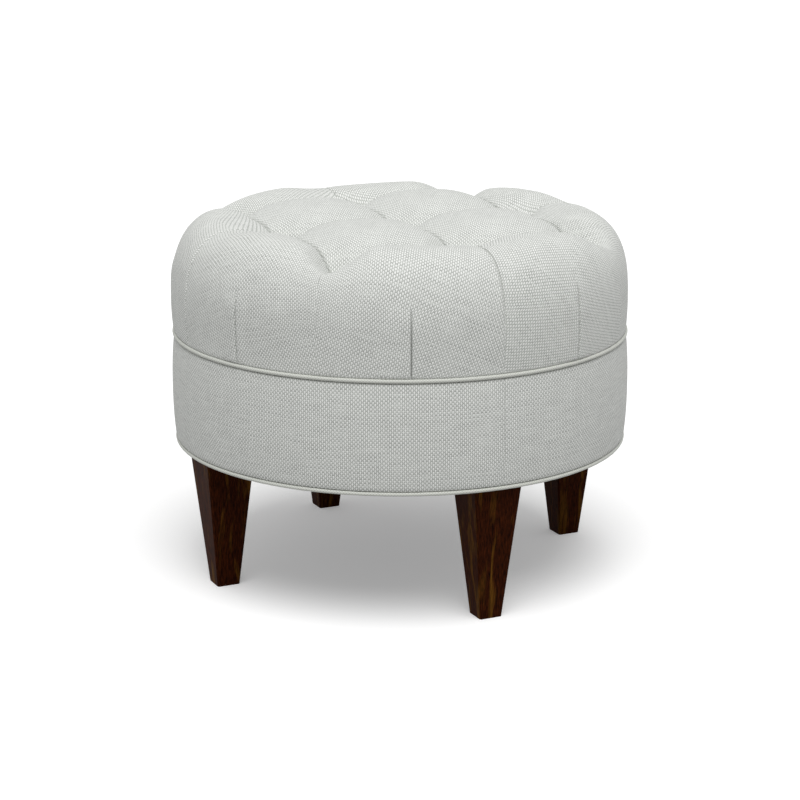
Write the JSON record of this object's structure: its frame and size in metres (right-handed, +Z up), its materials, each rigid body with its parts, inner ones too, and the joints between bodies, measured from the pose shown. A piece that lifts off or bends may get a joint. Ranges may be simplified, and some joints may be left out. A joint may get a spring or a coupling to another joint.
{
  "type": "upholstered footstool",
  "caption": "Round footstool with a deep tufted cushion, a piped padded band and square tapered wooden legs.",
  "frame": {"origin": "on the floor under the centre of the seat", "axes": "+Z up; the legs stand on the X and Y axes, and -Y is the front"},
  "size_m": [0.5244, 0.5244, 0.4223],
  "materials": {
    "stained_wood": "dark walnut stain, satin",
    "plywood": "bare birch plywood",
    "softwood": "bare sawn softwood",
    "hardboard": "bare thin hardboard",
    "zinc_steel": "bright zinc plated",
    "woven_cloth": "coarse basket weave, pale grey",
    "piping_cloth": "the same cloth cut on the bias",
    "wadding": "white polyester wadding",
    "foam": "cut polyurethane foam",
    "card": "plain card",
    "twine": "waxed linen twine",
    "black_cambric": "thin non-woven dust cloth"
  },
  "bodies": {
    "root": {"leg_left": "stained_wood", "leg_front": "stained_wood", "leg_right": "stained_wood", "leg_back": "stained_wood", "base_board": "plywood", "top_deck": "plywood", "leg_block_left": "softwood", "leg_block_front": "softwood", "leg_block_right": "softwood", "leg_block_back": "softwood", "post_1": "softwood", "post_2": "softwood", "post_3": "softwood", "post_4": "softwood", "post_5": "softwood", "post_6": "softwood", "post_7": "softwood", "post_8": "softwood", "side_hoop": "hardboard", "hanger_bolts": "zinc_steel", "tee_nuts": "zinc_steel", "top_cover": "woven_cloth", "band_cover": "woven_cloth", "upper_welt": "piping_cloth", "lower_welt": "piping_cloth", "band_padding": "wadding", "foam_pad": "foam", "tack_strip": "card", "tufting_washers": "card", "tufting_twines": "twine", "dust_cover": "black_cambric"}
  },
  "joints": []
}
